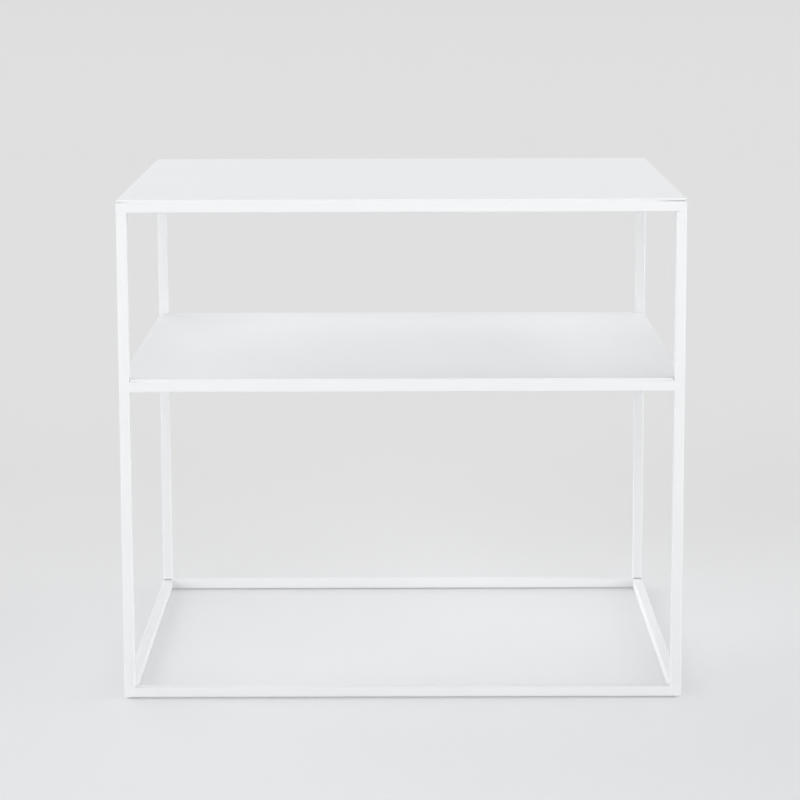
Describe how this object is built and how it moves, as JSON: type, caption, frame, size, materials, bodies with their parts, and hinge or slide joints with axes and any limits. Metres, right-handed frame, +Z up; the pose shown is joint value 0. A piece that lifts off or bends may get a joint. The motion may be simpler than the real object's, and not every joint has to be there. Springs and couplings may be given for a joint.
{
  "type": "end table with shelf",
  "caption": "Rectangular end table: an open box frame of slim square metal tube with a flat sheet top and a flat sheet shelf, all in white.",
  "frame": {"origin": "on the floor under the middle of the table, at the centre of the bounding box's lower face", "axes": "+X to the right along the width, -Y towards the front, +Z up"},
  "size_m": [0.635, 0.53, 0.572],
  "materials": {
    "white_powder_coat": "matte powder coat over steel",
    "coated_weld": "matte powder coat over weld bead",
    "glide_plastic": "moulded, matte"
  },
  "bodies": {
    "root": {"leg_front_left": "white_powder_coat", "leg_front_right": "white_powder_coat", "leg_back_left": "white_powder_coat", "leg_back_right": "white_powder_coat", "base_rail_front": "white_powder_coat", "base_rail_back": "white_powder_coat", "base_rail_left": "white_powder_coat", "base_rail_right": "white_powder_coat", "shelf_rail_front": "white_powder_coat", "shelf_rail_back": "white_powder_coat", "shelf_rail_left": "white_powder_coat", "shelf_rail_right": "white_powder_coat", "top_rail_front": "white_powder_coat", "top_rail_back": "white_powder_coat", "top_rail_left": "white_powder_coat", "top_rail_right": "white_powder_coat", "shelf_sheet": "white_powder_coat", "top_sheet": "white_powder_coat", "shelf_stitch_welds": "coated_weld", "top_stitch_welds": "coated_weld", "glide_front_left": "glide_plastic", "glide_front_right": "glide_plastic", "glide_back_left": "glide_plastic", "glide_back_right": "glide_plastic"}
  },
  "joints": []
}
